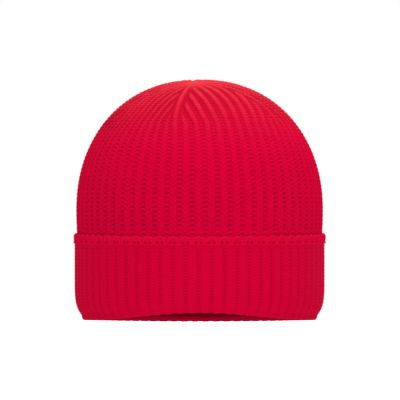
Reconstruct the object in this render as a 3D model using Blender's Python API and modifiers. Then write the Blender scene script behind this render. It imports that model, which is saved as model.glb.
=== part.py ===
"""Ribbed knit beanie with a turned-up cuff: rib wall, six-section crown drawn up at the top, cuff and label.

Units are metres. +Z is up, the front faces -Y, and the hat stands on its hem at Z = 0.
Each knit piece is turned round the Z axis first. to_head() then presses it to the oval of a head,
moves the gathering point forward of the top and lifts the hem over the forehead.
"""

import math

import bmesh
import bpy

# Driving dimensions.
HALF_WIDTH = 0.0898  # outer half width of the rib wall at its widest line
DEPTH_RATIO = 1.1  # front-to-back size over width
WIDEST_Z = 0.081  # height of the widest line above the hem
DOME_HEIGHT = 0.095  # from the widest line to the top
DOME_POWER = 2.15  # exponent of the dome's outline, 2 being an ellipse
FABRIC = 0.0036  # thickness of one layer of the rib
GAP = 0.0003  # clearance between neighbouring solids
CUFF_HALF_WIDTH = 0.0909
CUFF_TOP = 0.0629  # height of the cuff's free edge at the sides
CUFF_EDGE_TILT = 0.0032  # the free edge is this much lower in front and higher behind
CUFF_DRAW_IN = 0.0055  # the cuff narrows by this much on its way down to the hem
CUFF_DRAW_HEIGHT = 0.036
CUFF_DRAW_POWER = 1.5
WAIST_DRAW_IN = 0.0007  # how much narrower the wall is at the cuff's free edge
WAIST_STEP = 0.003  # height over which the wall passes inward behind the cuff
WELT_HEIGHT = 0.0065  # cast-on edge along the cuff's free edge
HEM_ARCH = 0.004  # rise of the hem at the middle of the forehead
HEM_ARCH_POWER = 4
HEM_FLAT = 0.0025  # width of the flat that the hem rests on
HEM_LEG_TOP = 0.008  # where the folded hem ends and the wall begins, inside
FADE_HEIGHT = 0.05  # above the cuff, its edge's tilt dies out over this height
TIP_SHIFT = (-0.005, -0.027)  # gathering point from the dome's axis
TIP_Z_FADE = 0.03

CROWN_LINE = 0.70  # the narrowing starts where the radius is this share of HALF_WIDTH
CROWN_HOLE = 0.0052  # radius of the opening that the gathering yarn draws together
SECTIONS = 6
FIRST_SPINE_DEG = -102.5  # azimuth of the narrowing line just left of the front middle
GATHER_RADIUS = 0.0036
GATHER_YARN = 0.0011
KNOT_RADIUS = 0.0024

SEAM_RADIUS = 0.0011
SEAM_CLEARANCE = 0.0010  # the wall's inner face steps outward above the cuff
SEAM_BOTTOM = 0.012
SEAM_POINTS = 18
LABEL_WIDTH = 0.018
LABEL_LENGTH = 0.034
LABEL_THICKNESS = 0.0008
LABEL_TOP = 0.0625
LABEL_CLEARANCE = 0.0005
STITCH_WAVES = 6
STITCH_SWING = 0.0005
STITCH_RADIUS = 0.00035
STITCH_LIFT = 0.0015

STEPS = 60  # facets round the head
ARC_POINTS = 6
DOME_POINTS = 8
BACK = math.pi / 2

KNIT_RED = (0.66, 0.004, 0.022, 1.0)
KNIT_DARK = (0.45, 0.003, 0.016, 1.0)
YARN_RED = (0.60, 0.004, 0.020, 1.0)
LABEL_WHITE = (0.80, 0.79, 0.76, 1.0)
THREAD_RED = (0.50, 0.004, 0.018, 1.0)


def clear_scene():
    for obj in list(bpy.data.objects):
        bpy.data.objects.remove(obj)


def collection(name):
    made = bpy.data.collections.new(name)
    bpy.context.scene.collection.children.link(made)
    return made


def material(name, color, roughness):
    made = bpy.data.materials.new(name)
    made.use_nodes = True
    shader = made.node_tree.nodes["Principled BSDF"]
    shader.inputs["Base Color"].default_value = color
    shader.inputs["Roughness"].default_value = roughness
    shader.inputs["Metallic"].default_value = 0.0
    return made


# ---------------------------------------------------------------- outline of the hat


def dome_point(angle, depth):
    """(radius, z) on the dome, depth under its outer face; angle 0 is the widest line, pi/2 the top."""
    power = 2 / DOME_POWER
    radius = (HALF_WIDTH - depth) * math.cos(angle) ** power
    height = (DOME_HEIGHT - depth) * math.sin(angle) ** power
    return radius, WIDEST_Z + height


def dome_angle(radius):
    """The dome's angle where its outer face has this radius."""
    return math.acos((radius / HALF_WIDTH) ** (DOME_POWER / 2))


def dome_height(x, y):
    """Height of the outer face over the plan point (x, y), with the dome centred on the axis."""
    share = math.hypot(x / HALF_WIDTH, y / (HALF_WIDTH * DEPTH_RATIO))
    rest = max(0.0, 1 - share**DOME_POWER)
    return DOME_HEIGHT * rest ** (1 / DOME_POWER)


def cuff_radius(z):
    """Outer radius of the cuff."""
    draw = max(0.0, 1 - z / CUFF_DRAW_HEIGHT) ** CUFF_DRAW_POWER
    return CUFF_HALF_WIDTH - CUFF_DRAW_IN * draw


def wall_radius(z):
    """Outer radius of the rib wall below its widest line."""
    behind = cuff_radius(z) - FABRIC - GAP
    share = (WIDEST_Z - z) / (WIDEST_Z - CUFF_TOP)
    free = HALF_WIDTH - WAIST_DRAW_IN * share**2
    step = min(1.0, max(0.0, (z - CUFF_TOP) / WAIST_STEP))
    return behind + (free - behind) * step


def to_head(co):
    """A point of the round, turned hat moved to its place on the oval head."""
    x, y, z = co
    radius = math.hypot(x, y)
    front = max(0.0, -y / radius) if radius else 0.0
    behind = y / radius if radius else 0.0
    lean = (max(0.0, HALF_WIDTH - radius) / (HALF_WIDTH - CROWN_HOLE)) ** 2
    new_x = x + TIP_SHIFT[0] * lean
    new_y = y * DEPTH_RATIO + TIP_SHIFT[1] * lean
    fade = min(1.0, max(0.0, (z - WIDEST_Z) / TIP_Z_FADE))
    new_z = z + fade * (dome_height(new_x, new_y) - dome_height(x, y * DEPTH_RATIO))
    up = min(1.0, z / CUFF_TOP)
    over_cuff = max(0.0, 1 - max(0.0, z - CUFF_TOP) / FADE_HEIGHT)
    new_z += HEM_ARCH * front**HEM_ARCH_POWER * (1 - up)
    new_z += CUFF_EDGE_TILT * behind * up * over_cuff
    return new_x, new_y, new_z


# ---------------------------------------------------------------- tools


def link(name, data, look, group):
    obj = bpy.data.objects.new(name, data)
    group.objects.link(obj)
    if look:
        data.materials.append(look)
    return obj


def profile_mesh(name, profile, closed):
    """The profile as a mesh of edges in the XZ plane."""
    mesh = bpy.data.meshes.new(name)
    edges = [(i, i + 1) for i in range(len(profile) - 1)]
    if closed:
        edges.append((len(profile) - 1, 0))
    mesh.from_pydata([(r, 0, z) for r, z in profile], edges, [])
    return mesh


def evaluated_mesh(obj):
    graph = bpy.context.evaluated_depsgraph_get()
    return bpy.data.meshes.new_from_object(obj.evaluated_get(graph))


def press_to_head(obj):
    """Keeps the modifiers' result and moves it onto the head."""
    mesh = evaluated_mesh(obj)
    obj.modifiers.clear()
    obj.data = mesh
    for vertex in mesh.vertices:
        vertex.co = to_head(vertex.co)
    mesh.shade_smooth()
    mesh.set_sharp_from_angle(angle=math.radians(40))


def turned(name, profile, look, group, closed=True, angle=math.tau):
    """A profile turned round the Z axis, once or by a smaller angle."""
    obj = link(name, profile_mesh(name, profile, closed), look, group)
    screw = obj.modifiers.new("turn", "SCREW")
    screw.axis = "Z"
    screw.angle = angle
    screw.steps = round(STEPS * angle / math.tau)
    screw.render_steps = screw.steps
    screw.use_merge_vertices = False
    screw.use_normal_calculate = True
    return obj


def tube(name, points, radius, look, group, sides=2):
    """A round yarn along the points, with filled ends, as one welded mesh."""
    curve = bpy.data.curves.new(name, "CURVE")
    curve.dimensions = "3D"
    curve.bevel_depth = radius
    curve.bevel_resolution = sides
    curve.use_fill_caps = True
    spline = curve.splines.new("POLY")
    spline.points.add(len(points) - 1)
    for point, co in zip(spline.points, points):
        point.co = (*co, 1)
    path = link(name + "_path", curve, None, group)
    mesh = evaluated_mesh(path)
    bpy.data.objects.remove(path)
    shape = bmesh.new()
    shape.from_mesh(mesh)
    bmesh.ops.remove_doubles(shape, verts=shape.verts, dist=0.00001)
    bmesh.ops.recalc_face_normals(shape, faces=shape.faces)
    shape.to_mesh(mesh)
    shape.free()
    mesh.name = name
    mesh.shade_smooth()
    return link(name, mesh, look, group)


# ---------------------------------------------------------------- pieces


def side_wall(look, group):
    top = dome_angle(CROWN_LINE * HALF_WIDTH)
    angles = [top * (1 - i / DOME_POINTS) for i in range(DOME_POINTS)]
    heights = [WIDEST_Z, CUFF_TOP + WAIST_STEP, CUFF_TOP, 0.036, 0.020, HEM_LEG_TOP + GAP]
    outer = [dome_point(a, 0) for a in angles] + [(wall_radius(z), z) for z in heights]
    inner = [(wall_radius(z) - FABRIC, z) for z in reversed(heights)]
    inner += [dome_point(a, FABRIC) for a in reversed(angles)]
    obj = turned("side_wall", outer + inner, look, group)
    press_to_head(obj)


def cuff(look, group):
    """One layer turned up outside the wall, with the doubled hem fold at its foot."""
    fold = FABRIC + GAP / 2
    top = CUFF_TOP - WELT_HEIGHT - GAP
    heights = [top + (fold - top) * i / 5 for i in range(6)]
    outer = [(cuff_radius(z), z) for z in heights]
    middle = cuff_radius(fold) - fold
    flat = HEM_FLAT / 2
    for i in range(1, ARC_POINTS + 1):
        turn = BACK * i / ARC_POINTS
        outer.append((middle + flat + (fold - flat) * math.cos(turn), fold * (1 - math.sin(turn))))
    for i in range(ARC_POINTS):
        turn = BACK * i / ARC_POINTS
        outer.append((middle - flat - (fold - flat) * math.sin(turn), fold * (1 - math.cos(turn))))
    low_inside = wall_radius(HEM_LEG_TOP) - FABRIC
    outer.append((low_inside, HEM_LEG_TOP))
    inner = [(cuff_radius(HEM_LEG_TOP) - FABRIC, HEM_LEG_TOP)]
    inner += [(cuff_radius(z) - FABRIC, z) for z in reversed(heights[:-1])]
    obj = turned("cuff", outer + inner, look, group)
    press_to_head(obj)


def cuff_welt(look, group):
    """The cast-on edge: a rounded band on top of the cuff."""
    low = CUFF_TOP - WELT_HEIGHT
    half = FABRIC / 2
    middle = CUFF_HALF_WIDTH - half
    profile = []
    for i in range(ARC_POINTS):
        turn = math.pi * (0.5 - i / (2 * (ARC_POINTS - 1)))
        profile.append((middle + half * math.cos(turn), CUFF_TOP - half + half * math.sin(turn)))
    profile += [(middle + half, low), (middle - half, low)]
    for i in range(ARC_POINTS - 1):
        turn = math.pi * (1 - i / (2 * (ARC_POINTS - 1)))
        profile.append((middle + half * math.cos(turn), CUFF_TOP - half + half * math.sin(turn)))
    obj = turned("cuff_welt", profile, look, group)
    press_to_head(obj)


def crown_profile():
    """The crown's outer face from its opening down to the crown line."""
    low = dome_angle(CROWN_LINE * HALF_WIDTH) + GAP / DOME_HEIGHT
    high = dome_angle(CROWN_HOLE)
    angles = [high + (low - high) * i / DOME_POINTS for i in range(DOME_POINTS + 1)]
    return [dome_point(a, 0) for a in angles]


def crown_section(index, look, group):
    """One section of the crown between two narrowing lines, each side set back by half a gap."""
    name = f"crown_section_{index + 1}"
    turn = math.tau / SECTIONS
    first = math.radians(FIRST_SPINE_DEG) + index * turn
    obj = turned(name, crown_profile(), look, group, closed=False, angle=turn)
    mesh = evaluated_mesh(obj)
    obj.modifiers.clear()
    obj.data = mesh
    for vertex in mesh.vertices:
        x, y, z = vertex.co
        radius = math.hypot(x, y)
        share = math.atan2(y, x) / turn
        azimuth = first + turn * share
        setback = GAP / radius * (0.5 - share)
        vertex.co = (radius * math.cos(azimuth + setback), radius * math.sin(azimuth + setback), z)
    cloth = obj.modifiers.new("fabric", "SOLIDIFY")
    cloth.thickness = FABRIC
    cloth.offset = -1
    cloth.use_even_offset = True
    press_to_head(obj)


def tip_place(depth):
    """The gathering point at this depth under the outer face."""
    return TIP_SHIFT[0], TIP_SHIFT[1], WIDEST_Z + dome_height(*TIP_SHIFT) - depth


def tip_tilt():
    """The dome's slope at the gathering point, as a turn about X."""
    step = 0.001
    x, y = TIP_SHIFT
    return math.atan2(dome_height(x, y + step) - dome_height(x, y - step), 2 * step)


def crown_gather(look, group):
    """The drawing yarn that runs through the last loops and closes the crown."""
    bpy.ops.mesh.primitive_torus_add(
        major_segments=20,
        minor_segments=8,
        major_radius=GATHER_RADIUS,
        minor_radius=GATHER_YARN,
        location=tip_place(FABRIC / 2),
        rotation=(tip_tilt(), 0, 0),
    )
    claim(bpy.context.object, "crown_gather", look, group)


def gather_knot(look, group):
    """The drawing yarn's knot, under the crown."""
    bpy.ops.mesh.primitive_uv_sphere_add(
        segments=12,
        ring_count=8,
        radius=KNOT_RADIUS,
        location=tip_place(FABRIC / 2 + GATHER_YARN + KNOT_RADIUS + GAP),
        rotation=(tip_tilt(), 0, 0),
    )
    knot = bpy.context.object
    for vertex in knot.data.vertices:
        vertex.co.z *= 0.8
    claim(knot, "gather_knot", look, group)


def claim(obj, name, look, group):
    """Names a new primitive, gives it its material and moves it to the hat's collection."""
    obj.name = name
    obj.data.name = name
    obj.data.materials.append(look)
    obj.data.shade_smooth()
    for other in obj.users_collection:
        other.objects.unlink(obj)
    group.objects.link(obj)


def inner_back(z):
    """Y of the wall's inner face at the middle of the back, at turned height z."""
    return (wall_radius(z) - FABRIC) * DEPTH_RATIO


def back_seam(look, group):
    """The linked seam inside the back, from the hem fold to the gathering point."""
    inset = FABRIC + SEAM_CLEARANCE + SEAM_RADIUS
    high = dome_angle(CROWN_HOLE + 2 * FABRIC)
    low_points = [SEAM_BOTTOM + (WIDEST_Z - SEAM_BOTTOM) * i / SEAM_POINTS for i in range(SEAM_POINTS)]
    route = [(wall_radius(z) - inset, z) for z in low_points]
    route += [dome_point(high * i / SEAM_POINTS, inset) for i in range(SEAM_POINTS + 1)]
    points = [to_head((0, radius, z)) for radius, z in route]
    tube("back_seam", points, SEAM_RADIUS, look, group)


def label_plane():
    """Y of the middle of the hanging label, clear of the seam behind it."""
    nearest = inner_back(LABEL_TOP - LABEL_LENGTH)
    return nearest - DEPTH_RATIO * (SEAM_CLEARANCE + 2 * SEAM_RADIUS) - LABEL_CLEARANCE - LABEL_THICKNESS / 2


def care_label(look, group):
    """A blank folded ribbon that hangs from its top edge; its origin is on that edge, where it swings."""
    shape = bmesh.new()
    bmesh.ops.create_cube(shape, size=1)
    size = (LABEL_WIDTH, LABEL_THICKNESS, LABEL_LENGTH)
    bmesh.ops.scale(shape, vec=size, verts=shape.verts)
    bmesh.ops.translate(shape, vec=(0, 0, -LABEL_LENGTH / 2), verts=shape.verts)
    mesh = bpy.data.meshes.new("care_label")
    shape.to_mesh(mesh)
    shape.free()
    obj = link("care_label", mesh, look, group)
    obj.location = (0, label_plane(), LABEL_TOP)
    bevel = obj.modifiers.new("soft_edges", "BEVEL")
    bevel.width = LABEL_THICKNESS / 4
    bevel.segments = 2


def label_stitching(look, group):
    """The row of stitches along the label's top edge."""
    count = STITCH_WAVES * 6
    points = []
    for i in range(count + 1):
        share = i / count
        wave = math.sin(math.tau * STITCH_WAVES * share)
        x = LABEL_WIDTH * (share - 0.5)
        points.append((x, label_plane(), LABEL_TOP + STITCH_LIFT + STITCH_SWING * wave))
    tube("label_stitching", points, STITCH_RADIUS, look, group)


def build():
    clear_scene()
    hat = collection("ribbed_beanie")
    knit = material("knit_wall", KNIT_RED, 0.9)
    turned_knit = material("knit_cuff", KNIT_DARK, 0.9)
    yarn = material("drawing_yarn", YARN_RED, 0.9)
    thread = material("sewing_thread", THREAD_RED, 0.6)
    ribbon = material("label_ribbon", LABEL_WHITE, 0.5)
    side_wall(knit, hat)
    cuff(turned_knit, hat)
    cuff_welt(turned_knit, hat)
    for index in range(SECTIONS):
        crown_section(index, knit, hat)
    crown_gather(yarn, hat)
    gather_knot(yarn, hat)
    back_seam(thread, hat)
    care_label(ribbon, hat)
    label_stitching(thread, hat)


build()
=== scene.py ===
"""The looks of the ribbed beanie: stitched rib wall, narrowed crown, turned cuff, welt, yarn and label.

Every knit face is swept round the head in two coordinates: the rib that a point is on, and the course
(row of stitches) that it is in. A stitch function raises the loops of the yarn from it.
All sizes are in metres, +Z is up and the front faces -Y. Azimuth 0 is the front, and grows to the right.
"""

import math

import bpy
import mathutils
import numpy as np
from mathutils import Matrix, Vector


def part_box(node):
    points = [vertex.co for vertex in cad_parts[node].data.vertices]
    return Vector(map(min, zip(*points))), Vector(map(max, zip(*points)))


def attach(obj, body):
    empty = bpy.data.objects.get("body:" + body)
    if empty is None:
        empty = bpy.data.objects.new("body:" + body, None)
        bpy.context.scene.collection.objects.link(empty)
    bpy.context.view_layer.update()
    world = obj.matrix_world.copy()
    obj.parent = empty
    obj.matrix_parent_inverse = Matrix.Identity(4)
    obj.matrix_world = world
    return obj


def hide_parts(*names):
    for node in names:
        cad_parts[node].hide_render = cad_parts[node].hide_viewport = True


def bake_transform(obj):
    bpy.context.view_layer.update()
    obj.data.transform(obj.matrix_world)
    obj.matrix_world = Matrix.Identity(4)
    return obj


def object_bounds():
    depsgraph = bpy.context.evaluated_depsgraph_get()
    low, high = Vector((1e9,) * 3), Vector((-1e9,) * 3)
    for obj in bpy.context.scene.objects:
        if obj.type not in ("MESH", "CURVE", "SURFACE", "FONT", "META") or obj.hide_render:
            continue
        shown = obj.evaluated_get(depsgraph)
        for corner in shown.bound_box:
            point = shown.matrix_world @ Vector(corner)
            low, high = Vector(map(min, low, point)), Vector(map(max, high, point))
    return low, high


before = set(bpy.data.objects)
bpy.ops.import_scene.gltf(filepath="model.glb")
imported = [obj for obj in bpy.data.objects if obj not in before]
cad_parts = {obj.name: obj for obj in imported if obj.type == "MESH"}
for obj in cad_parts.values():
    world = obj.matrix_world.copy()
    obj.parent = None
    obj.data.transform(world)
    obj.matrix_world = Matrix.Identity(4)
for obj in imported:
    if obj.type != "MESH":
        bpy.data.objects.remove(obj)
CAD_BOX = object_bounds()

# ---------------------------------------------------------------- sizes, from the frame

WALL_LOW, WALL_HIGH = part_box("side_wall")
CUFF_LOW, CUFF_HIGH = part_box("cuff")
LABEL_LOW, LABEL_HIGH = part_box("care_label")
SEAM_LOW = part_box("back_seam")[0]
GATHER_LOW, GATHER_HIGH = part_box("crown_gather")
KNOT_LOW, KNOT_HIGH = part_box("gather_knot")
STITCH_LOW, STITCH_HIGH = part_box("label_stitching")
HALF_WIDTH = (WALL_HIGH[0] - WALL_LOW[0]) / 2
DEPTH_RATIO = (WALL_HIGH[1] - WALL_LOW[1]) / (WALL_HIGH[0] - WALL_LOW[0])
CUFF_HALF_WIDTH = (CUFF_HIGH[0] - CUFF_LOW[0]) / 2
TIP_SHIFT = ((GATHER_LOW[0] + GATHER_HIGH[0]) / 2, (GATHER_LOW[1] + GATHER_HIGH[1]) / 2)

# ---------------------------------------------------------------- sizes of the hat

WIDEST_Z = 0.081  # the wall is widest here, and the dome starts
DOME_HEIGHT = 0.095
DOME_POWER = 2.15  # 2 would be an ellipse, and more is squarer
FABRIC = 0.0036
GAP = 0.0003  # between the wall and the cuff
CUFF_TOP = 0.0629
CUFF_EDGE_TILT = 0.0032  # the cuff's free edge stands this much lower in front, and higher behind
CUFF_DRAW_IN = 0.009  # how far the cuff would be drawn in at height 0
CUFF_DRAW_HEIGHT = 0.036
CUFF_DRAW_POWER = 5
WAIST_DRAW_IN = 0.0007  # the wall is this much narrower at the cuff's free edge than where it is widest
WAIST_START = 0.0013  # the wall starts outward this far under the cuff's free edge
WAIST_STEP = 0.0018  # and is free of the cuff after this height
WAIST_POWER = 1.3
WALL_FOOT = 0.048  # the wall's outer face starts here, hidden behind the cuff
WELT_HEIGHT = 0.0065
WELT_TOP = CUFF_TOP + 0.0012  # the welt stands this far over the edge that carries it
WELT_FOOT = CUFF_TOP - WELT_HEIGHT + 0.0007  # and its foot is raised a little less
WELT_LAP = 0.0005  # how far the cuff runs up under the welt
HEM_ARCH = 0.0062  # rise of the hem in front
HEM_ARCH_POWER = 4
HEM_SIDE_LIFT = 0.0012  # rise of the hem over the ears
HEM_FLAT = 0.0025  # width of the fold's flat bottom
HEM_LEG_TOP = 0.008  # the fold's inner side has run into the wall here
HEM_LEG_END = HEM_LEG_TOP + 0.002
INNER_FOOT = HEM_LEG_TOP + 0.001  # the wall's inner face starts here
FADE_HEIGHT = 0.05  # the tilt of the cuff's edge fades out over this height of the wall
HOLE = 0.0052  # radius of the inner face's hole at the tip
DIMPLE_EDGE = 0.0048
TIP_Z_FADE = 0.03

RIBS = 66
GORES = 6
GORE_RIBS = RIBS // GORES
FRONT_SPINE = math.radians(-12.4)  # azimuth of the front narrowing line
# How far each narrowing line swings round the head halfway up the crown, from the front one rightward.
SWAY = [math.radians(turn) for turn in (-3.5, 4, 2, 0, 3, 12)]
SPINE_EDGE = (GORE_RIBS - 1) / 2  # where a gore's last rib starts, in ribs from the gore's middle
COURSE = 0.0031  # height of one course of stitches in the wall
CUFF_COURSE = 0.00245

# Points per rib across, and rows of points per course.
OUTER_SAMPLES = (16, 8)
CUFF_SAMPLES = (14, 8)
INNER_SAMPLES = (6, 3)
CUFF_BACK_ROWS = 14


# ---------------------------------------------------------------- outline of the hat


def smooth(low, high, value):
    """0 at low, 1 at high and eased between them."""
    share = np.clip((value - low) / (high - low), 0, 1)
    return share * share * (3 - 2 * share)


def dome_height(x, y):
    """Height of the dome's outer face over its widest ring."""
    share = np.hypot(x / HALF_WIDTH, y / (HALF_WIDTH * DEPTH_RATIO))
    return DOME_HEIGHT * np.clip(1 - share**DOME_POWER, 0, None) ** (1 / DOME_POWER)


def cuff_radius(z):
    """The cuff's outer face, drawn in towards the hem."""
    draw = np.clip(1 - z / CUFF_DRAW_HEIGHT, 0, None) ** CUFF_DRAW_POWER
    return CUFF_HALF_WIDTH - CUFF_DRAW_IN * draw


def wall_radius(z):
    """The wall's outer face, close behind the cuff and free above it."""
    behind = cuff_radius(z) - FABRIC - GAP
    free = HALF_WIDTH - WAIST_DRAW_IN * ((WIDEST_Z - z) / (WIDEST_Z - CUFF_TOP)) ** 2
    step = np.clip((z - CUFF_TOP + WAIST_START) / WAIST_STEP, 0, 1) ** WAIST_POWER
    return behind + (free - behind) * step


def to_head(radius, azimuth, z):
    """Points of the round hat moved to the oval head: tip forward, cuff's edge tilted, hem raised."""
    x = radius * np.sin(azimuth)
    y = -radius * np.cos(azimuth)
    front = np.clip(np.cos(azimuth), 0, None)
    lean = (np.clip(HALF_WIDTH - radius, 0, None) / (HALF_WIDTH - HOLE)) ** 2
    new_x = x + TIP_SHIFT[0] * lean
    new_y = y * DEPTH_RATIO + TIP_SHIFT[1] * lean
    fade = np.clip((z - WIDEST_Z) / TIP_Z_FADE, 0, 1)
    new_z = z + fade * (dome_height(new_x, new_y) - dome_height(x, y * DEPTH_RATIO))
    up = np.clip(z / CUFF_TOP, None, 1)
    over_cuff = np.clip(1 - np.clip(z - CUFF_TOP, 0, None) / FADE_HEIGHT, 0, None)
    hem_rise = HEM_ARCH * front**HEM_ARCH_POWER + HEM_SIDE_LIFT * np.sin(azimuth) ** 2
    new_z = new_z + hem_rise * (1 - up) - CUFF_EDGE_TILT * np.cos(azimuth) * up * over_cuff
    return np.stack([new_x, new_y, new_z], axis=-1)


class Outline:
    """A turned profile of (radius, height) points, read by the distance along it."""

    def __init__(self, points):
        self.points = np.array(points, float)
        steps = np.linalg.norm(np.diff(self.points, axis=0), axis=1)
        self.along = np.concatenate([[0], np.cumsum(steps)])
        self.length = self.along[-1]
        self.widest = self.points[:, 0].max()

    def at(self, along):
        radius = np.interp(along, self.along, self.points[:, 0])
        return radius, np.interp(along, self.along, self.points[:, 1])

    def place(self, azimuth, along):
        radius, z = self.at(along)
        return to_head(radius, azimuth, z)

    def normal(self, azimuth, along):
        """Away from the face, from four places close by: a small turn and a small step to each side."""
        turn, step = 0.002, 0.0004
        side = self.place(azimuth + turn, along) - self.place(azimuth - turn, along)
        up = self.place(azimuth, along + step) - self.place(azimuth, along - step)
        normal = np.cross(side, up)
        return normal / np.maximum(np.linalg.norm(normal, axis=-1, keepdims=True), 1e-12)


def body_points(depth, low, tip_radius):
    """The wall and crown at this depth under their outer face, from height low to near the tip."""
    power = 2 / DOME_POWER
    last = math.acos((tip_radius / (HALF_WIDTH - depth)) ** (1 / power))
    heights = np.linspace(low, WIDEST_Z, 160, endpoint=False)
    points = [(wall_radius(z) - depth, z) for z in heights]
    for angle in np.linspace(0, last, 400):
        radius = (HALF_WIDTH - depth) * math.cos(angle) ** power
        points.append((radius, WIDEST_Z + (DOME_HEIGHT - depth) * math.sin(angle) ** power))
    return points


# Radius and depth down the dimple, in which the ribs are drawn together.
DIMPLE = [(0.0042, 0.0001), (0.0034, 0.0004), (0.0027, 0.0010)]
DIMPLE += [(0.0022, 0.0018), (0.0012, 0.0024), (0.0004, 0.0026)]


def body_outline():
    """The outer face of the wall and crown, down into the dimple."""
    points = body_points(0, WALL_FOOT, DIMPLE_EDGE)
    top = points[-1][1]
    return Outline(points + [(radius, top - dip) for radius, dip in DIMPLE])


def cuff_outline():
    """Down the fold's inner side, under the fold and up the outside to the welt."""
    fold = FABRIC + GAP / 2
    middle = cuff_radius(fold) - fold
    flat = HEM_FLAT / 2
    leg = wall_radius(HEM_LEG_TOP) - FABRIC
    points = [(leg, HEM_LEG_END), (leg, HEM_LEG_TOP)]
    for turn in np.linspace(math.pi / 2, 0, 12):
        points.append((middle - flat - (fold - flat) * math.sin(turn), fold * (1 - math.cos(turn))))
    for turn in np.linspace(math.pi / 2, 0, 12):
        points.append((middle + flat + (fold - flat) * math.cos(turn), fold * (1 - math.sin(turn))))
    for z in np.linspace(fold, WELT_FOOT + WELT_LAP, 60)[1:]:
        points.append((cuff_radius(z), z))
    return Outline(points)


def cuff_back_outline():
    """The cuff's hidden face, across the fold's top and up behind the welt."""
    points = [(wall_radius(HEM_LEG_TOP) - FABRIC, HEM_LEG_END)]
    points.append((cuff_radius(HEM_LEG_END) - FABRIC, HEM_LEG_END))
    for z in np.linspace(HEM_LEG_END, WELT_FOOT, 12)[1:]:
        points.append((cuff_radius(z) - FABRIC, z))
    return Outline(points)


def welt_outline():
    """Up the cuff's free edge outside, over it and down behind."""
    half = FABRIC / 2
    middle = CUFF_HALF_WIDTH - half
    points = [(middle + half, z) for z in np.linspace(WELT_FOOT, WELT_TOP - half, 12, endpoint=False)]
    for turn in np.linspace(0, math.pi, 24):
        points.append((middle + half * math.cos(turn), WELT_TOP - half + half * math.sin(turn)))
    points.append((middle - half, WELT_FOOT))
    return Outline(points)


BODY = body_outline()
INSIDE = Outline(body_points(FABRIC, INNER_FOOT, HOLE))
CUFF = cuff_outline()
CUFF_BACK = cuff_back_outline()
WELT = welt_outline()


# ---------------------------------------------------------------- ribs round the head

TURN_STEPS = 2000
FRONT_STRETCH = 0.04  # the ribs are this much further apart in front
# Azimuths over three turns round the head, and the share of the ribs that lie before each of them.
ROUND = np.linspace(-math.tau, 2 * math.tau, 3 * TURN_STEPS + 1)
ROUND_STEPS = np.hypot(np.cos(ROUND), DEPTH_RATIO * np.sin(ROUND)) * (1 - FRONT_STRETCH * np.cos(ROUND))
ROUND_SHARE = np.concatenate([[0], np.cumsum((ROUND_STEPS[1:] + ROUND_STEPS[:-1]) / 2)])
ROUND_SHARE -= ROUND_SHARE[TURN_STEPS]
ROUND_SHARE /= ROUND_SHARE[2 * TURN_STEPS]
FIRST_SHARE = np.interp(FRONT_SPINE, ROUND, ROUND_SHARE)


# The narrowing lines start to swing at the first of these radii, each as a share of the widest one, and
# swing in full from the second to the third.
SWING_START, SWING_LOW, SWING_HIGH = 0.99, 0.67, 0.39
TIP_SWING = 0.35  # share of the swing that is left at the tip


def rib_azimuth(gore, share, size=1.0):
    """Azimuth at this share of a gore; size is the radius over the widest one, less over the crown."""
    wall = np.interp(FIRST_SHARE + (gore + share) / GORES, ROUND_SHARE, ROUND)
    back = TIP_SWING + (1 - TIP_SWING) * smooth(0, SWING_HIGH, size)
    swing = smooth(SWING_START, SWING_LOW, size) * back
    return wall + swing * (SWAY[gore] * (1 - share) + SWAY[(gore + 1) % GORES] * share)


# Distances from the tip, and half the ribs that a gore has left there between its two spine ribs.
NARROWING_ARC = (0.010, 0.020, 0.028, 0.036, 0.082)
NARROWING_LEFT = (1.5, 1.62, 1.95, 2.4, 5.0)


def ribs_left(outline, along):
    """Half the ribs between two spine ribs, which end against them in pairs towards the tip."""
    return np.interp(outline.length - along, NARROWING_ARC, NARROWING_LEFT)


# ---------------------------------------------------------------- stitches

# A look is a dict of how the knit stands at a distance along an outline:
#   half        half a rib's width, as a share of the rib pitch
#   slant       how far a leg of a stitch climbs from the rib's middle to its edge, in courses
#   slot_power  how narrow the slots in the trough are
#   lift        height of the whole face over the outline, where it isn't 0
#   relief      depth of the trough under the rib
#   leg         depth of the creases between the stitches of a leg
#   groove      depth of the groove between a rib's two legs
#   bar         height of the bars across the trough
#   slot        depth of the slots between the bars

UNEVEN = np.random.default_rng(5).uniform(-1, 1, (RIBS, 97))
LEG_UNEVEN = 0.25
BAR_UNEVEN = 0.30
BAR_SAG = 0.03  # how far a bar runs on over its leg's end, in courses


def unevenness(place, rows):
    """A number of its own, -1 to 1, for the stitch at each whole place and row."""
    first = np.floor(place).astype(int) % UNEVEN.shape[0]
    return UNEVEN[first, np.floor(rows).astype(int) % UNEVEN.shape[1]]


def rib_share(across, half):
    """0 at a raised rib's middle, 1 at its edge, 2 at the trough's middle."""
    off = np.abs(across - np.floor(across) - 0.5)
    return np.where(off < half, off / half, 1 + (off - half) / (0.5 - half))


def row_rise(across, look):
    """How far a course's line is lifted at this place across the ribs, in courses."""
    share = rib_share(across, look["half"])
    in_trough = np.clip(share - 1, 0, 1)
    return look["slant"] * (np.clip(share, 0, 1) + BAR_SAG * np.sin(in_trough * math.pi / 2))


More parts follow.
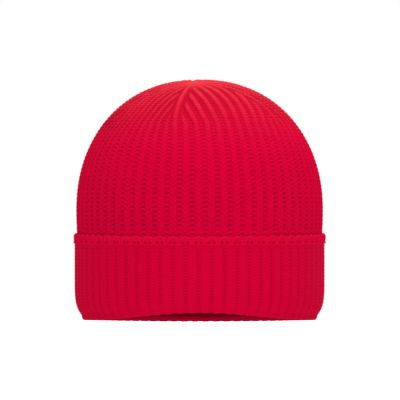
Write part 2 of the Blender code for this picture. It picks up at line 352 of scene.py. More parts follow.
def stitch_height(across, rows, look):
    """Height of the knit over the outline: a rib of two legs, and a trough of bars with slots between."""
    share = rib_share(across, look["half"])
    on_rib = np.clip(share, 0, 1)
    in_trough = np.clip(share - 1, 0, 1)
    sunk = np.sin(in_trough * math.pi / 2)
    loop = np.abs(np.sin(math.pi * rows))
    leg_change = 1 + LEG_UNEVEN * unevenness(across, rows)
    bar_change = 1 + BAR_UNEVEN * unevenness(across + 0.5, rows + 40)
    rib = np.sqrt(1 - on_rib**2.6)  # the rib's round back
    lobe = np.sqrt(np.clip(1 - (2 * on_rib - 1) ** 2, 0, 1))  # 1 in the middle of a leg
    crease = (1 - loop**0.7) * (0.35 + 0.65 * lobe) * (share < 1)
    groove = (1 - np.clip(on_rib / 0.35, 0, 1)) ** 2
    bar = loop**0.8 * sunk**0.6
    slot = (1 - loop**0.8) ** 1.5 * sunk ** look["slot_power"]
    height = -look["relief"] * (1 - rib)
    height = height - look["leg"] * leg_change * crease - look["groove"] * groove
    return height + look["bar"] * bar - look["slot"] * bar_change * slot


def wall_look(along):
    """Open slots low on the wall, fuller ribs and fewer bars on the crown, half the relief at the cuff."""
    low = smooth(0.085, 0.035, along)
    crown = smooth(0.075, 0.13, along)
    tip = np.clip((BODY.length - along) / 0.026, 0.12, 1)
    snug = 0.5 + 0.5 * smooth(0.0155, 0.019, along)
    return {
        "half": 0.31,
        "slant": 0.9,
        "slot_power": 2.5,
        "lift": tip * 0.0005 * crown,
        "relief": tip * (0.0011 * snug + 0.0007 * crown),
        "leg": tip * (0.0006 + 0.0003 * crown),
        "groove": tip * (0.0004 - 0.0001 * crown),
        "bar": tip * (0.0007 - 0.0006 * crown),
        "slot": tip * (0.0003 - 0.0002 * crown + 0.0010 * low),
    }


def inside_look(along):
    """Shallow, even stitches that flatten at the tip."""
    tip = np.clip((INSIDE.length - along) / 0.02, 0.1, 1)
    return {
        "half": 0.32,
        "slant": 0.9,
        "slot_power": 1,
        "relief": tip * 0.0010,
        "leg": tip * 0.0003,
        "groove": tip * 0.0001,
        "bar": tip * 0.0004,
        "slot": tip * 0.0004,
    }


def cuff_look(along):
    """Low ribs with fine slots, shallower at the hem, all fading out under the welt's foot."""
    hem = smooth(0.030, 0.016, along)
    edge = smooth(0, 0.0025, CUFF.length - along)
    return {
        "half": 0.36,
        "slant": -0.7,
        "slot_power": 4,
        "relief": 0.0006 * edge,
        "leg": (0.0002 - 0.0001 * hem) * edge,
        "groove": 0.0001 * edge,
        "bar": 0.0003 * edge,
        "slot": 0.0006 * (1 - 0.75 * hem) * edge,
    }


def plain_look(along):
    """No stitches, on a face that nothing shows."""
    look = dict.fromkeys(("slant", "relief", "leg", "groove", "bar", "slot"), 0 * along)
    return look | {"half": 0.3, "slot_power": 1}


# ---------------------------------------------------------------- meshes


def quads_of(index):
    """Quads of a grid of vertex numbers whose columns run to the right and rows upward."""
    low, high = index[:-1], index[1:]
    return np.stack([low[:, :-1], low[:, 1:], high[:, 1:], high[:, :-1]], axis=-1).reshape(-1, 4)


def zipped(first, second):
    """Triangles between two edges of different counts."""
    faces = []
    i = j = 0
    last_i, last_j = len(first) - 1, len(second) - 1
    while i < last_i or j < last_j:
        if j == last_j or (i < last_i and (i + 1) * last_j <= (j + 1) * last_i):
            faces.append((first[i], second[j], first[i + 1]))
            i += 1
        else:
            faces.append((first[i], second[j], second[j + 1]))
            j += 1
    return np.array(faces)


def without_collapsed(quads, triangles):
    """Whole quads, and the triangles with those that a collapsed quad leaves."""
    same = quads == np.roll(quads, -1, axis=1)
    count = same.sum(axis=1)
    bent = quads[count == 1]
    keep = np.ones(bent.shape, bool)
    keep[np.arange(len(bent)), np.argmax(same[count == 1], axis=1)] = False
    triangles = np.concatenate([triangles.reshape(-1, 3), bent[keep].reshape(-1, 3)])
    good = (triangles != np.roll(triangles, -1, axis=1)).all(axis=1)
    return quads[count == 0], triangles[good]


def make_mesh(name, points, quads, triangles, loft=None, rims=()):
    """A smooth mesh object from arrays; shading breaks along the rims, where pieces meet."""
    whole, triangles = without_collapsed(quads, triangles)
    corners = np.concatenate([whole.ravel(), triangles.ravel()])
    used, numbers = np.unique(corners, return_inverse=True)
    starts = [np.arange(len(whole)) * 4, len(whole) * 4 + np.arange(len(triangles)) * 3]
    mesh = bpy.data.meshes.new(name)
    mesh.vertices.add(len(used))
    mesh.vertices.foreach_set("co", points[used].astype(np.float32).ravel())
    mesh.loops.add(len(numbers))
    mesh.loops.foreach_set("vertex_index", numbers.astype(np.int32))
    mesh.polygons.add(len(whole) + len(triangles))
    mesh.polygons.foreach_set("loop_start", np.concatenate(starts).astype(np.int32))
    mesh.update(calc_edges=True)
    mesh.validate()
    # The loft is the yarn's height over its outline; the material paints shade into the stitches' hollows
    # from it.
    if loft is not None:
        layer = mesh.attributes.new("loft", "FLOAT", "POINT")
        layer.data.foreach_set("value", loft[used].astype(np.float32))
    mesh.shade_smooth()
    sharpen(mesh, used, rims)
    obj = bpy.data.objects.new(name, mesh)
    bpy.context.scene.collection.objects.link(obj)
    return obj


def sharpen(mesh, used, rims):
    """Marks the edges along the rims as sharp; used holds the number that each vertex had before."""
    edges = np.empty(len(mesh.edges) * 2, np.int32)
    mesh.edges.foreach_get("vertices", edges)
    edges = np.sort(edges.reshape(-1, 2), axis=1).astype(np.int64)
    sharp = np.zeros(len(edges), bool)
    for rim in rims:
        rim = np.searchsorted(used, rim[np.isin(rim, used)])
        pairs = np.sort(np.stack([rim[:-1], rim[1:]], axis=1), axis=1)
        sharp |= np.isin(edges[:, 0] * len(used) + edges[:, 1], pairs[:, 0] * len(used) + pairs[:, 1])
    layer = mesh.attributes.new("sharp_edge", "BOOLEAN", "EDGE")
    layer.data.foreach_set("value", sharp)


TINY = 1e-6  # far less than the distance between two samples, in ribs
MERGING_WIDTH = 0.0020  # a rib changes into a trough over this distance from where it ends
LEVEL_COURSES = 5  # the courses run level at an outline's ends, and slant fully this many courses away


def rows_of(low, high, per_course):
    """Rows of points between two courses, counted in courses."""
    return np.arange(round(low * per_course), round(high * per_course) + 1) / per_course


def gore_face(outline, rows, samples, gore, course, look_at, face, start=0):
    """One gore's grid on one face of the fabric: its points, their loft and their vertex numbers.

    face is 0 on the wall's outer side and 0.5 on the other one, whose ribs are the first one's troughs.
    """
    across = np.linspace(-GORE_RIBS / 2, GORE_RIBS / 2, GORE_RIBS * samples + 1)[None, :]
    rows = np.asarray(rows, float)[:, None]
    base = np.clip(rows * course, 0, outline.length)
    radius, z = outline.at(base)
    look = look_at(base)
    crowned = outline in (BODY, INSIDE)
    left = ribs_left(outline, base) if crowned else np.full(base.shape, SPINE_EDGE)
    size_left = np.where((z > WIDEST_Z) & crowned, radius / outline.widest, 1.0)

    # Ribs past those that are left end against the spine rib: their points fold onto its edge.
    side, size = np.sign(across), np.abs(across)
    inner = size < SPINE_EDGE - TINY
    kept = np.where(inner, np.minimum(size, left), size)
    folded = inner & (size > left)
    place = np.where(inner, kept, left + size - SPINE_EDGE)
    azimuth = rib_azimuth(gore, 0.5 + side * place / (2 * left + 1), size_left)

    # Near that edge a rib goes over into the trough beside the spine rib.
    room = (left - kept) * radius * math.tau / GORES / (2 * left + 1)
    merging = (1 - smooth(0, MERGING_WIDTH, room)) * inner * (left < SPINE_EDGE - TINY)
    rib = side * kept + face
    trough = side * SPINE_EDGE + face + 0 * rib
    rise = row_rise(rib, look) * (1 - merging) + row_rise(trough, look) * merging
    crowding = (2 * left + 1) / GORE_RIBS
    end = np.minimum(base, outline.length - base)
    rise = rise * crowding * smooth(0, LEVEL_COURSES * course, end)
    along = np.clip((rows + rise) * course, 0, outline.length)
    count = gore * GORE_RIBS
    height = stitch_height(rib + count, rows + 0 * rib, look) * (1 - merging)
    height = height + stitch_height(trough + count, rows + 0 * rib, look) * merging
    out = -1 if outline is INSIDE else 1
    proud = out * (height + look.get("lift", 0))
    points = outline.place(azimuth, along) + outline.normal(azimuth, along) * proud[..., None]

    columns = np.arange(across.shape[1])[None, :] + np.zeros(rows.shape, int)
    edge = round((GORE_RIBS / 2 - SPINE_EDGE) * samples)
    joined = np.where(folded, np.where(side < 0, edge, across.shape[1] - 1 - edge), columns)
    index = start + np.arange(len(rows))[:, None] * across.shape[1] + joined
    return points.reshape(-1, 3), height.ravel(), index


def closed_piece(name, outer, inner):
    """A closed piece of fabric between two faces of one gore, each (points, loft, index)."""
    index, inner_index = outer[2], inner[2]
    sides = [
        zipped(index[0], inner_index[0]),
        zipped(index[-1, ::-1], inner_index[-1, ::-1]),
        zipped(index[::-1, 0], inner_index[::-1, 0]),
        zipped(index[:, -1], inner_index[:, -1]),
    ]
    quads = np.concatenate([quads_of(index), quads_of(inner_index)[:, ::-1]])
    rims = []
    for grid in (index, inner_index):
        rims += [grid[0], grid[-1], grid[:, 0], grid[:, -1]]
    points = np.concatenate([outer[0], inner[0]])
    loft = np.concatenate([outer[1], inner[1]])
    return make_mesh(name, points, quads, np.concatenate(sides), loft, rims)


def body_piece(name, gore, low, high, inner_low, inner_high):
    """Wall or crown over one gore, from course low to high outside, and inside at its own courses."""
    samples, per_course = OUTER_SAMPLES
    outer = gore_face(BODY, rows_of(low, high, per_course), samples, gore, COURSE, wall_look, 0)
    samples, per_course = INNER_SAMPLES
    rows = rows_of(inner_low, inner_high, per_course)
    inner = gore_face(INSIDE, rows, samples, gore, COURSE, inside_look, 0.5, len(outer[0]))
    return closed_piece(name, outer, inner)


def cuff_piece(name, gore):
    """The cuff and hem over one gore, between the stitched face and a plain hidden one."""
    samples, per_course = CUFF_SAMPLES
    rows = rows_of(0, CUFF.length / CUFF_COURSE, per_course)
    outer = gore_face(CUFF, rows, samples, gore, CUFF_COURSE, cuff_look, 0.5)
    rows = np.linspace(0, CUFF_BACK.length, CUFF_BACK_ROWS) / CUFF_COURSE
    inner = gore_face(CUFF_BACK, rows, 2, gore, CUFF_COURSE, plain_look, 0.5, len(outer[0]))
    return closed_piece(name, outer, inner)


# ---------------------------------------------------------------- welt

WELT_SAMPLES = 20
WELT_SHADE = 0.0003  # the welt is coloured as if it stood this much deeper than it does
WELT_CREST = WELT_TOP - WELT_FOOT - FABRIC / 2 + math.pi * FABRIC / 4  # along the outline, up to its top
WELT_FRONT = WELT_CREST * 1.2  # rows lie close together up to here


def bump_at(value, middle, width):
    """A round bump, 1 high at its middle."""
    return np.exp(-(((value - middle) / width) ** 2))


def welt_height(across, along):
    """A row of arched loops, one over each trough of the cuff, with two dark eyes at its foot."""
    off = across - np.round(across)
    size = np.abs(off)
    up = along / WELT_CREST
    change = 0.2 * unevenness(across + 0.5, across * 0 + 3)
    ring = np.hypot(size / 0.33, np.clip(up - 0.25, 0, None) / 0.60)
    arch = 0.0009 * (1 + change) * bump_at(ring, 1, 0.22)
    hollow = 0.0002 * np.clip(1 - ring, 0, 1)
    tongue = 0.0002 * bump_at(off, 0, 0.10) * bump_at(up, 0.45, 0.25)
    eyes = 0.0011 * bump_at(size, 0.24, 0.075) * bump_at(up, 0.24, 0.10)
    foot = 0.0003 * bump_at(up, 0.05, 0.06) * (1 + np.cos(10 * math.pi * off))
    between = 0.0003 * bump_at(size, 0.5, 0.10) * smooth(0.55, 0.95, up)
    height = arch - hollow + tongue - eyes + foot - between - 0.0002
    return height * (1 - smooth(1.0, 1.3, up))


def welt_piece(name, gore):
    """The cast-on edge over one gore: a band over the cuff's edge, closed at its ends and its foot."""
    across = np.linspace(-GORE_RIBS / 2, GORE_RIBS / 2, GORE_RIBS * WELT_SAMPLES + 1)[None, :]
    along = np.concatenate([
        np.linspace(0, WELT_FRONT, 46),
        np.linspace(WELT_FRONT, WELT.length, 6)[1:],
    ])[:, None]
    azimuth = rib_azimuth(gore, 0.5 + across / GORE_RIBS) + 0 * along
    along = along + 0 * across
    height = welt_height(across + 0.5 + gore * GORE_RIBS + 0 * along, along)
    points = WELT.place(azimuth, along) + WELT.normal(azimuth, along) * height[..., None]
    rows, columns = along.shape
    index = np.arange(rows * columns).reshape(rows, columns)
    half = rows // 2
    sides = [zipped(index[0], index[-1])]
    for column, order in ((index[:, 0], -1), (index[:, -1], 1)):
        sides.append(zipped(column[:half], column[::-1][:rows - half])[:, ::order])
    rims = [index[0], index[-1], index[:, 0], index[:, -1]]
    loft = height.ravel() - WELT_SHADE
    return make_mesh(name, points.reshape(-1, 3), quads_of(index), np.concatenate(sides), loft, rims)


# ---------------------------------------------------------------- yarn, seam and label


def curve_through(points, steps=12):
    """A smooth open curve through the points."""
    points = np.array(points, float)
    ends = np.concatenate([[2 * points[0] - points[1]], points, [2 * points[-1] - points[-2]]])
    share = np.linspace(0, 1, steps, endpoint=False)[:, None]
    found = []
    for before, first, second, after in zip(ends, ends[1:], ends[2:], ends[3:]):
        slope, next_slope = (second - before) / 2, (after - first) / 2
        rest = second - first
        found.append(first + share * slope + share**2 * (3 * rest - 2 * slope - next_slope)
                     + share**3 * (slope + next_slope - 2 * rest))
    return np.concatenate(found + [points[-1:]])


def path_frames(path, closed):
    """Two directions square to the path at each of its points, without twist along it."""
    ahead = np.roll(path, -1, axis=0) - np.roll(path, 1, axis=0)
    if not closed:
        ahead[0], ahead[-1] = path[1] - path[0], path[-1] - path[-2]
    ahead /= np.linalg.norm(ahead, axis=1, keepdims=True)
    side = np.empty_like(path)
    last = np.cross(ahead[0], (0.3, 0.2, 0.93))
    for i in range(len(path)):
        last = last - ahead[i] * (last @ ahead[i])
        last = last / np.linalg.norm(last)
        side[i] = last
    return side, np.cross(ahead, side)


def swept(path, radius, closed):
    """Points, quads and triangles of a round strand along the path."""
    side, up = path_frames(path, closed)
    angle = np.linspace(0, math.tau, 10, endpoint=False)[None, :, None]
    ring = path[:, None] + radius * (np.cos(angle) * side[:, None] + np.sin(angle) * up[:, None])
    count, sides = ring.shape[:2]
    index = np.arange(count * sides).reshape(count, sides)
    index = np.concatenate([index, index[:, :1]], axis=1)
    if closed:
        return ring.reshape(-1, 3), quads_of(np.concatenate([index, index[:1]])), np.empty((0, 3), int)
    points = np.concatenate([ring.reshape(-1, 3), path[[0, -1]]])
    low = [(count * sides, index[0, k + 1], index[0, k]) for k in range(sides)]
    high = [(count * sides + 1, index[-1, k], index[-1, k + 1]) for k in range(sides)]
    return points, quads_of(index), np.array(low + high)


def strands_piece(name, strands):
    """One mesh object from several swept strands."""
    points, quads, triangles, start = [], [], [], 0
    for strand in strands:
        points.append(strand[0])
        quads.append(strand[1] + start)
        triangles.append(strand[2] + start)
        start += len(strand[0])
    return make_mesh(name, np.concatenate(points), np.concatenate(quads), np.concatenate(triangles))


PLY = 0.54  # radius of one strand, as a share of the plied yarn's


def plied(path, radius, turn_length, closed=False):
    """Two strands wound round each other along the path."""
    side, up = path_frames(path, closed)
    steps = np.linalg.norm(np.roll(path, -1, axis=0) - path, axis=1)
    along = np.concatenate([[0], np.cumsum(steps)[:-1]])
    length = steps.sum() if closed else along[-1]
    phase = (math.tau * round(length / turn_length) * along / length)[:, None]
    strands = []
    for start in (0, math.pi):
        way = np.cos(phase + start) * side + np.sin(phase + start) * up
        strands.append(swept(path + (1 - PLY) * radius * way, PLY * radius, closed))
    return strands


TIP_STEP = 0.001
TIP_LOW, TIP_HIGH = (dome_height(TIP_SHIFT[0], TIP_SHIFT[1] + step) for step in (-TIP_STEP, TIP_STEP))
TIP_TILT = math.atan2(TIP_HIGH - TIP_LOW, 2 * TIP_STEP)  # slope of the crown at the gathering point


def at_tip(points, low, high):
    """Points round a tip node's middle, turned to the crown's slope there."""
    x, y, z = np.array(points, float).T
    cos, sin = math.cos(TIP_TILT), math.sin(TIP_TILT)
    turned = np.stack([x, y * cos - z * sin, y * sin + z * cos], axis=-1)
    return turned + (np.array(low) + np.array(high)) / 2


# Radius of the yarn, and the length in which its two strands turn once round each other.
GATHER_YARN, GATHER_TWIST = 0.0011, 0.0045
KNOT_YARN, KNOT_TWIST = 0.0006, 0.0024


def gather_piece():
    """The drawing yarn, waving through the last loops just under the crown's outer face."""
    radius = (GATHER_HIGH[0] - GATHER_LOW[0]) / 2 - GATHER_YARN
    turn = np.linspace(0, math.tau, 120, endpoint=False)
    wave = 0.0002 * np.sin(6 * turn) - 0.0005
    ring = np.stack([radius * np.cos(turn), radius * np.sin(turn), wave], axis=-1)
    path = at_tip(ring, GATHER_LOW, GATHER_HIGH)
    return strands_piece("gather_yarn", plied(path, GATHER_YARN, GATHER_TWIST, closed=True))


def knot_piece():
    """An overhand knot in the drawing yarn, one end up at its ring and the other cut short."""
    size = ((KNOT_HIGH[0] - KNOT_LOW[0]) / 2 - KNOT_YARN) / 3
    turn = np.linspace(0, math.tau - 0.45, 22)
    loop = np.stack([
        size * (np.sin(turn) + 2 * np.sin(2 * turn)),
        size * (np.cos(turn) - 2 * np.cos(2 * turn)),
        -0.0009 * np.sin(3 * turn),
    ], axis=-1)
    lead = [(-0.0034, -0.0006, 0.0030), (-0.0026, -0.0010, 0.0021), (-0.0013, -0.0008, 0.0010)]
    tail = [(-0.0003, -0.0013, 0.0014), (0.0009, -0.0020, 0.0010), (0.0018, -0.0028, 0.0001)]
    path = at_tip(curve_through(lead + list(loop) + tail), KNOT_LOW, KNOT_HIGH)
    return strands_piece("gather_knot_yarn", plied(path, KNOT_YARN, KNOT_TWIST))


SEAM_STRAND = 0.00048
SEAM_LINK = 0.0026
SEAM_PROUD = 0.0011  # how far the chain's middle stands off the wall's inner face
SEAM_LIFT = 0.0005
SEAM_SWING = 0.0010


def seam_piece():
    """The linked seam: a plait of three strands up the inside of the back, from the hem to the tip."""
    low = np.interp(SEAM_LOW[2], INSIDE.points[:, 1], INSIDE.along)
    high = INSIDE.length - 2 * FABRIC
    along = np.arange(low, high, 0.00025)
    behind = np.full(along.shape, math.pi)
    normal = INSIDE.normal(behind, along)
    middle = INSIDE.place(behind, along) - SEAM_PROUD * normal
    strands = []
    for strand in range(3):
        phase = math.tau * (along / (3 * SEAM_LINK) + strand / 3)
        lift = SEAM_LIFT * np.sin(2 * phase)[:, None] * normal
        sideways = np.stack([SEAM_SWING * np.sin(phase), 0 * phase, 0 * phase], axis=-1)
        strands.append(swept(middle + lift + sideways, SEAM_STRAND, False))
    return strands_piece("seam_chain", strands)


LABEL_WIDTH = LABEL_HIGH[0] - LABEL_LOW[0]
LABEL_LENGTH = LABEL_HIGH[2] - LABEL_LOW[2]
LABEL_PLANE = (LABEL_LOW[1] + LABEL_HIGH[1]) / 2
LABEL_TOP = LABEL_HIGH[2]
RIBBON = 0.00025  # thickness
TAB_HEIGHT = 0.0036  # the part that is sewn down
TAB_LEAN = 0.0010
RIBBON_BULGE = 0.0007  # how far the layer on the head's side hangs out
RIBBON_CURL = 0.0005
STITCH_THREAD, STITCH_TWIST = 0.0003, 0.0011
ZIGZAG_TURNS = 6
ZIGZAG_HEIGHT = 0.0008


def tab_lean(up):
    """How far the sewn-down top of the ribbon leans back to the seam, at this share of its height."""
    return TAB_LEAN * np.clip(up, 0, 1) ** 1.5


def ribbon_piece():
    """The blank care ribbon: sewn down at its top, and folded in two at its bottom.

    The path is a list of (y, z) down the layer on the head's side, round the fold and up the other one.
    """
    gap = RIBBON * 0.62  # half the distance between the layers' middles
    reach = LABEL_LENGTH - gap
    height = np.concatenate([np.linspace(TAB_HEIGHT, 0, 16, endpoint=False), np.linspace(0, -reach, 90)])
    low = np.clip(-height / reach, 0, 1)
    lean = tab_lean(height / TAB_HEIGHT)
    bulge = RIBBON_BULGE * np.sin(math.pi * low) * low
    turn = np.linspace(0, math.pi, 12)[1:-1]
    y = np.concatenate([lean - gap - bulge, -gap * np.cos(turn), (lean + gap)[::-1]])
    z = np.concatenate([height, -reach - gap * np.sin(turn), height[::-1]])
    path = np.stack([LABEL_PLANE + y, LABEL_TOP + z], axis=-1)
    ahead = np.gradient(path, axis=0)
    ahead /= np.linalg.norm(ahead, axis=1, keepdims=True)
    across = np.linspace(-1, 1, 49)
    x = across * LABEL_WIDTH / 2 + 0 * path[:, :1]
    selvedge = bump_at(np.abs(across), 0.93, 0.035)
    half = RIBBON / 2 * (1 + 0.7 * selvedge) * (1 - 0.6 * smooth(0.97, 1.0, np.abs(across)))
    curl = -RIBBON_CURL * across**2 * smooth(0.1, 0.6, -z / reach)[:, None]
    faces = []
    for start, way in ((0, 1), (x.size, -1)):
        face_y = path[:, :1] - way * ahead[:, 1:] * half + curl
        face_z = path[:, 1:] + way * ahead[:, :1] * half
        index = start + np.arange(x.size).reshape(x.shape)
        faces.append((np.stack([x, face_y, face_z], axis=-1).reshape(-1, 3), np.zeros(x.size), index))
    return closed_piece("label_ribbon", *faces)


def stitching_piece():
    """A zigzag of sewing thread over the ribbon's top, dipping into it at each turn."""
    share = np.linspace(0, 1, 421)
    x = (share - 0.5) * 0.93 * LABEL_WIDTH
    zigzag = 2 / math.pi * np.arcsin(np.sin(math.tau * ZIGZAG_TURNS * share))
    z = (STITCH_LOW[2] + STITCH_HIGH[2]) / 2 + ZIGZAG_HEIGHT * zigzag
    front = LABEL_PLANE + tab_lean((z - LABEL_TOP) / TAB_HEIGHT) - 1.1 * RIBBON
    y = front - 0.7 * STITCH_THREAD + 0.0006 * np.abs(zigzag) ** 8
    path = np.stack([x, y, z], axis=-1)
    return strands_piece("label_stitches", plied(path, STITCH_THREAD, STITCH_TWIST))


# ---------------------------------------------------------------- materials


def new_material(name, settings):
    """A material, its node tree and its shader, with these constants on the shader's sockets."""
    made = bpy.data.materials.new(name)
    made.use_nodes = True
    shader = made.node_tree.nodes["Principled BSDF"]
    for socket, value in settings.items():
        shader.inputs[socket].default_value = value
    return made, made.node_tree, shader


def feed(tree, socket, value):
    """Joins another node's output to the socket, or sets the socket's constant."""
    if isinstance(value, bpy.types.NodeSocket):
        tree.links.new(value, socket)
    else:
        socket.default_value = value


def maths(tree, operation, *values, clamp=False):
    made = tree.nodes.new("ShaderNodeMath")
    made.operation = operation
    made.use_clamp = clamp
    for socket, value in zip(made.inputs, values):
        feed(tree, socket, value)
    return made.outputs["Value"]


def color_mix(tree, share, low, high):
    """The low colour where the share is 0 and the high one where it is 1."""
    made = tree.nodes.new("ShaderNodeMix")
    made.data_type = "RGBA"
    feed(tree, made.inputs["Factor"], share)
    feed(tree, made.inputs["A"], low)
    feed(tree, made.inputs["B"], high)
    return made.outputs["Result"]


def ranged(tree, value, low, high):
    """0 where the value is low or less, 1 where it is high or more."""
    made = tree.nodes.new("ShaderNodeMapRange")
    made.inputs["From Min"].default_value = low
    made.inputs["From Max"].default_value = high
    tree.links.new(value, made.inputs["Value"])
    return made.outputs["Result"]


def object_place(tree):
    return tree.nodes.new("ShaderNodeTexCoord").outputs["Object"]


def noise(tree, scale, detail, roughness):
    made = tree.nodes.new("ShaderNodeTexNoise")
    made.inputs["Scale"].default_value = scale
    made.inputs["Detail"].default_value = detail
    made.inputs["Roughness"].default_value = roughness
    tree.links.new(object_place(tree), made.inputs["Vector"])
    return made.outputs["Fac"]


def add_bump(tree, shader, height, strength, distance):
    bump = tree.nodes.new("ShaderNodeBump")
    bump.inputs["Strength"].default_value = strength
    bump.inputs["Distance"].default_value = distance
    tree.links.new(height, bump.inputs["Height"])
    tree.links.new(bump.outputs["Normal"], shader.inputs["Normal"])


CROWN_HIGHLIGHT_HEIGHTS = (CAD_BOX[1][2] - 0.080, CAD_BOX[1][2])  # heights between which a painted highlight pales the raised yarn, where the light from above falls
HIGHLIGHT_POWER = 4
# the lighter red of the painted highlight on the crown's top
PAINTED_HIGHLIGHT_RED = (0.44, 0.028, 0.036, 1)
UNSHADED_LOFT = -0.0002  # yarn that stands this high or higher has its full colour, without painted shade
FIBRE_SHARE = 0.70
MOTTLE_SHARE = 0.25


def knit_material(name, high, low, depth):
    """Soft acrylic yarn, mottled, with fibres over it: painted shade darkens it down to this depth in the
    stitches, and a painted highlight pales the raised yarn near the crown's top.
    """
    made, tree, shader = new_material(name, {
        "Roughness": 0.88,
        "Specular IOR Level": 0.0,
        "Sheen Weight": 0.02,
        "Sheen Roughness": 0.4,
        "Sheen Tint": (1.0, 0.35, 0.4, 1.0),
    })
    fibre = noise(tree, 1100, 4, 0.7)
    mottle = noise(tree, 90, 3, 0.6)
    # Painted shade: yarn that stands lower than the unshaded loft goes towards the low colour, fully at
    # this depth.
    loft = tree.nodes.new("ShaderNodeAttribute")
    loft.attribute_name = "loft"
    # Both noises are 0.5 on average, which the last step takes off again.
    raised = ranged(tree, loft.outputs["Fac"], -depth, UNSHADED_LOFT)
    raised = maths(tree, "MULTIPLY_ADD", fibre, FIBRE_SHARE, raised)
    raised = maths(tree, "MULTIPLY_ADD", mottle, MOTTLE_SHARE, raised)
    raised = maths(tree, "SUBTRACT", raised, (FIBRE_SHARE + MOTTLE_SHARE) / 2, clamp=True)
    # Painted highlight: near the crown's top, where the light from above falls, the raised yarn pales
    # towards a lighter red.
    parts = tree.nodes.new("ShaderNodeSeparateXYZ")
    tree.links.new(object_place(tree), parts.inputs["Vector"])
    highlight_share = maths(tree, "POWER", ranged(tree, parts.outputs["Z"], *CROWN_HIGHLIGHT_HEIGHTS), HIGHLIGHT_POWER)
    highlighted_color = color_mix(tree, maths(tree, "MULTIPLY", highlight_share, raised), (*high, 1), PAINTED_HIGHLIGHT_RED)
    tree.links.new(color_mix(tree, raised, (*low, 1), highlighted_color), shader.inputs["Base Color"])
    add_bump(tree, shader, fibre, 0.4, 0.0003)
    return made


def thread_material(name, high, low, fibre_scale, sheen):
    """Twisted yarn or thread: streaky colour and fine fibres."""
    made, tree, shader = new_material(name, {
        "Roughness": 0.75,
        "Specular IOR Level": 0.2,
        "Sheen Weight": sheen,
        "Sheen Roughness": 0.4,
    })
    fibre = noise(tree, fibre_scale, 4, 0.7)
    tree.links.new(color_mix(tree, fibre, (*low, 1), (*high, 1)), shader.inputs["Base Color"])
    add_bump(tree, shader, fibre, 0.5, 0.0001)
    return made


def satin_material(name, color, shade):
    """White satin ribbon: fine weft ribs across it and a soft gloss."""
    made, tree, shader = new_material(name, {"Roughness": 0.38, "Sheen Weight": 0.2})
    weft = tree.nodes.new("ShaderNodeTexWave")
    weft.bands_direction = "Z"
    weft.inputs["Scale"].default_value = 700
    weft.inputs["Distortion"].default_value = 0.6
    weft.inputs["Detail Scale"].default_value = 3
    tree.links.new(object_place(tree), weft.inputs["Vector"])
    woven = maths(tree, "MULTIPLY", weft.outputs["Fac"], noise(tree, 2500, 2, 0.5))
    tree.links.new(color_mix(tree, woven, (*shade, 1), (*color, 1)), shader.inputs["Base Color"])
    add_bump(tree, shader, woven, 0.3, 0.00005)
    return made


# ---------------------------------------------------------------- stage

VIEW_WIDTH = 0.2908  # width of the view at the hat
VIEW_DISTANCE = 5.0
VIEW_MIDDLE = (0.0003, 0.0, 0.0886)
VIEW_ELEVATION = math.radians(-1.0)
SENSOR = 36.0
FLOOR_SIZE = 40
FLOOR_DROP = 0.001  # the floor lies this far under the hat
LIT_POINT = (0, 0, 0.09)


def aim(obj, target):
    """Turns a light or camera towards the target."""
    way = mathutils.Vector(target) - obj.location
    obj.rotation_euler = way.to_track_quat("-Z", "Y").to_euler()


def light(name, at, size, power):
    """A soft round light, aimed at the hat."""
    data = bpy.data.lights.new(name, "AREA")
    data.shape = "DISK"
    data.size = size
    data.energy = power
    obj = bpy.data.objects.new(name, data)
    bpy.context.scene.collection.objects.link(obj)
    obj.location = at
    aim(obj, LIT_POINT)


def make_stage():
    """A white world, a pale floor that glows, and two soft lights."""
    scene = bpy.context.scene
    scene.view_settings.view_transform = "Standard"
    world = bpy.data.worlds.new("studio")
    scene.world = world
    world.use_nodes = True
    background = world.node_tree.nodes["Background"]
    background.inputs["Color"].default_value = (1, 1, 1, 1)
    background.inputs["Strength"].default_value = 1.0
    bpy.ops.mesh.primitive_plane_add(size=FLOOR_SIZE, location=(0, 0, CAD_BOX[0][2] - FLOOR_DROP))
    floor = bpy.context.object
    floor.name = "floor"
    glow = new_material("pale_floor", {
        "Base Color": (0.35, 0.35, 0.35, 1),
        "Roughness": 0.9,
        "Emission Color": (1, 1, 1, 1),
        "Emission Strength": 1.3,
    })
    floor.data.materials.append(glow[0])
    light("top", (0.1, -0.3, 2.0), 1.2, 50)
    light("front", (0.30, -2.3, 0.6), 1.2, 20)


def make_camera():
    """A camera far in front, near the hem's height and looking up a little."""
    data = bpy.data.cameras.new("camera")
    data.sensor_width = SENSOR
    data.lens = SENSOR * VIEW_DISTANCE / VIEW_WIDTH
    data.clip_end = 100
    camera = bpy.data.objects.new("camera", data)
    bpy.context.scene.collection.objects.link(camera)
    camera.location = (
        VIEW_MIDDLE[0],
        VIEW_MIDDLE[1] - VIEW_DISTANCE * math.cos(VIEW_ELEVATION),
        VIEW_MIDDLE[2] + VIEW_DISTANCE * math.sin(VIEW_ELEVATION),
    )
    aim(camera, VIEW_MIDDLE)
    bpy.context.scene.camera = camera


# ---------------------------------------------------------------- build


def finish_piece(obj, material, body, slot, *nodes):
    """Gives a piece its material and its body, and hides the nodes that it replaces; the slot is not used.
    """
    obj.data.materials.append(material)
    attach(obj, body)
    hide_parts(*nodes)


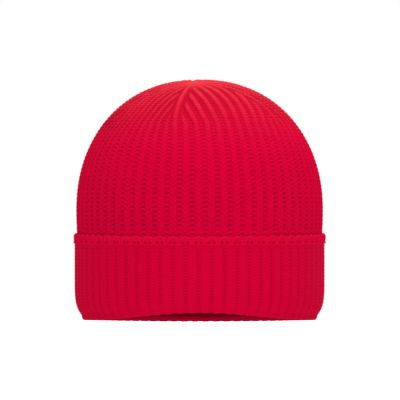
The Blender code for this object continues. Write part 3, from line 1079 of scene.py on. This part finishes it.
make_camera()
make_stage()

# Each yarn gets its full colour, then the colour of the painted shade deep in its stitches, then how deep
# that painted shade reaches.
WALL_RED = knit_material("wall_yarn", (0.345, 0.0004, 0.019), (0.235, 0.000, 0.010), 0.0026)
CUFF_RED = knit_material("cuff_yarn", (0.322, 0.0004, 0.0175), (0.228, 0.000, 0.010), 0.0016)
WELT_RED = knit_material("welt_yarn", (0.362, 0.0010, 0.020), (0.25, 0.000, 0.011), 0.0016)

# The course at which the wall's pieces end and the crown's start, and the last one, on each face.
CROWN_COURSE = 34
LAST_COURSE = BODY.length / COURSE
INNER_CROWN = CROWN_COURSE + 12
INNER_LAST = INSIDE.length / COURSE

for gore in range(GORES):
    number = gore + 1
    wall = body_piece(f"wall_knit_{number}", gore, 0, CROWN_COURSE, 0, INNER_CROWN)
    finish_piece(wall, WALL_RED, "hat", "knit_wall", "side_wall")
    crown = body_piece(f"crown_knit_{number}", gore, CROWN_COURSE, LAST_COURSE, INNER_CROWN, INNER_LAST)
    finish_piece(crown, WALL_RED, "hat", "knit_wall", f"crown_section_{number}")
    finish_piece(cuff_piece(f"cuff_knit_{number}", gore), CUFF_RED, "hat", "knit_cuff", "cuff")
    finish_piece(welt_piece(f"welt_knit_{number}", gore), WELT_RED, "hat", "knit_cuff", "cuff_welt")

DRAWING_RED = thread_material("drawing_yarn", (0.46, 0.001, 0.022), (0.28, 0.000, 0.012), 1100, 0.1)
THREAD_RED = thread_material("sewing_thread", (0.42, 0.001, 0.020), (0.24, 0.000, 0.010), 2600, 0.05)
SATIN = satin_material("label_satin", (0.86, 0.84, 0.80), (0.70, 0.68, 0.64))
finish_piece(gather_piece(), DRAWING_RED, "hat", "drawing_yarn", "crown_gather")
finish_piece(knot_piece(), DRAWING_RED, "hat", "drawing_yarn", "gather_knot")
finish_piece(seam_piece(), THREAD_RED, "hat", "sewing_thread", "back_seam")
finish_piece(stitching_piece(), THREAD_RED, "hat", "sewing_thread", "label_stitching")
ribbon = ribbon_piece()
ribbon.data.materials.append(SATIN)
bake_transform(ribbon)
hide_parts("care_label")
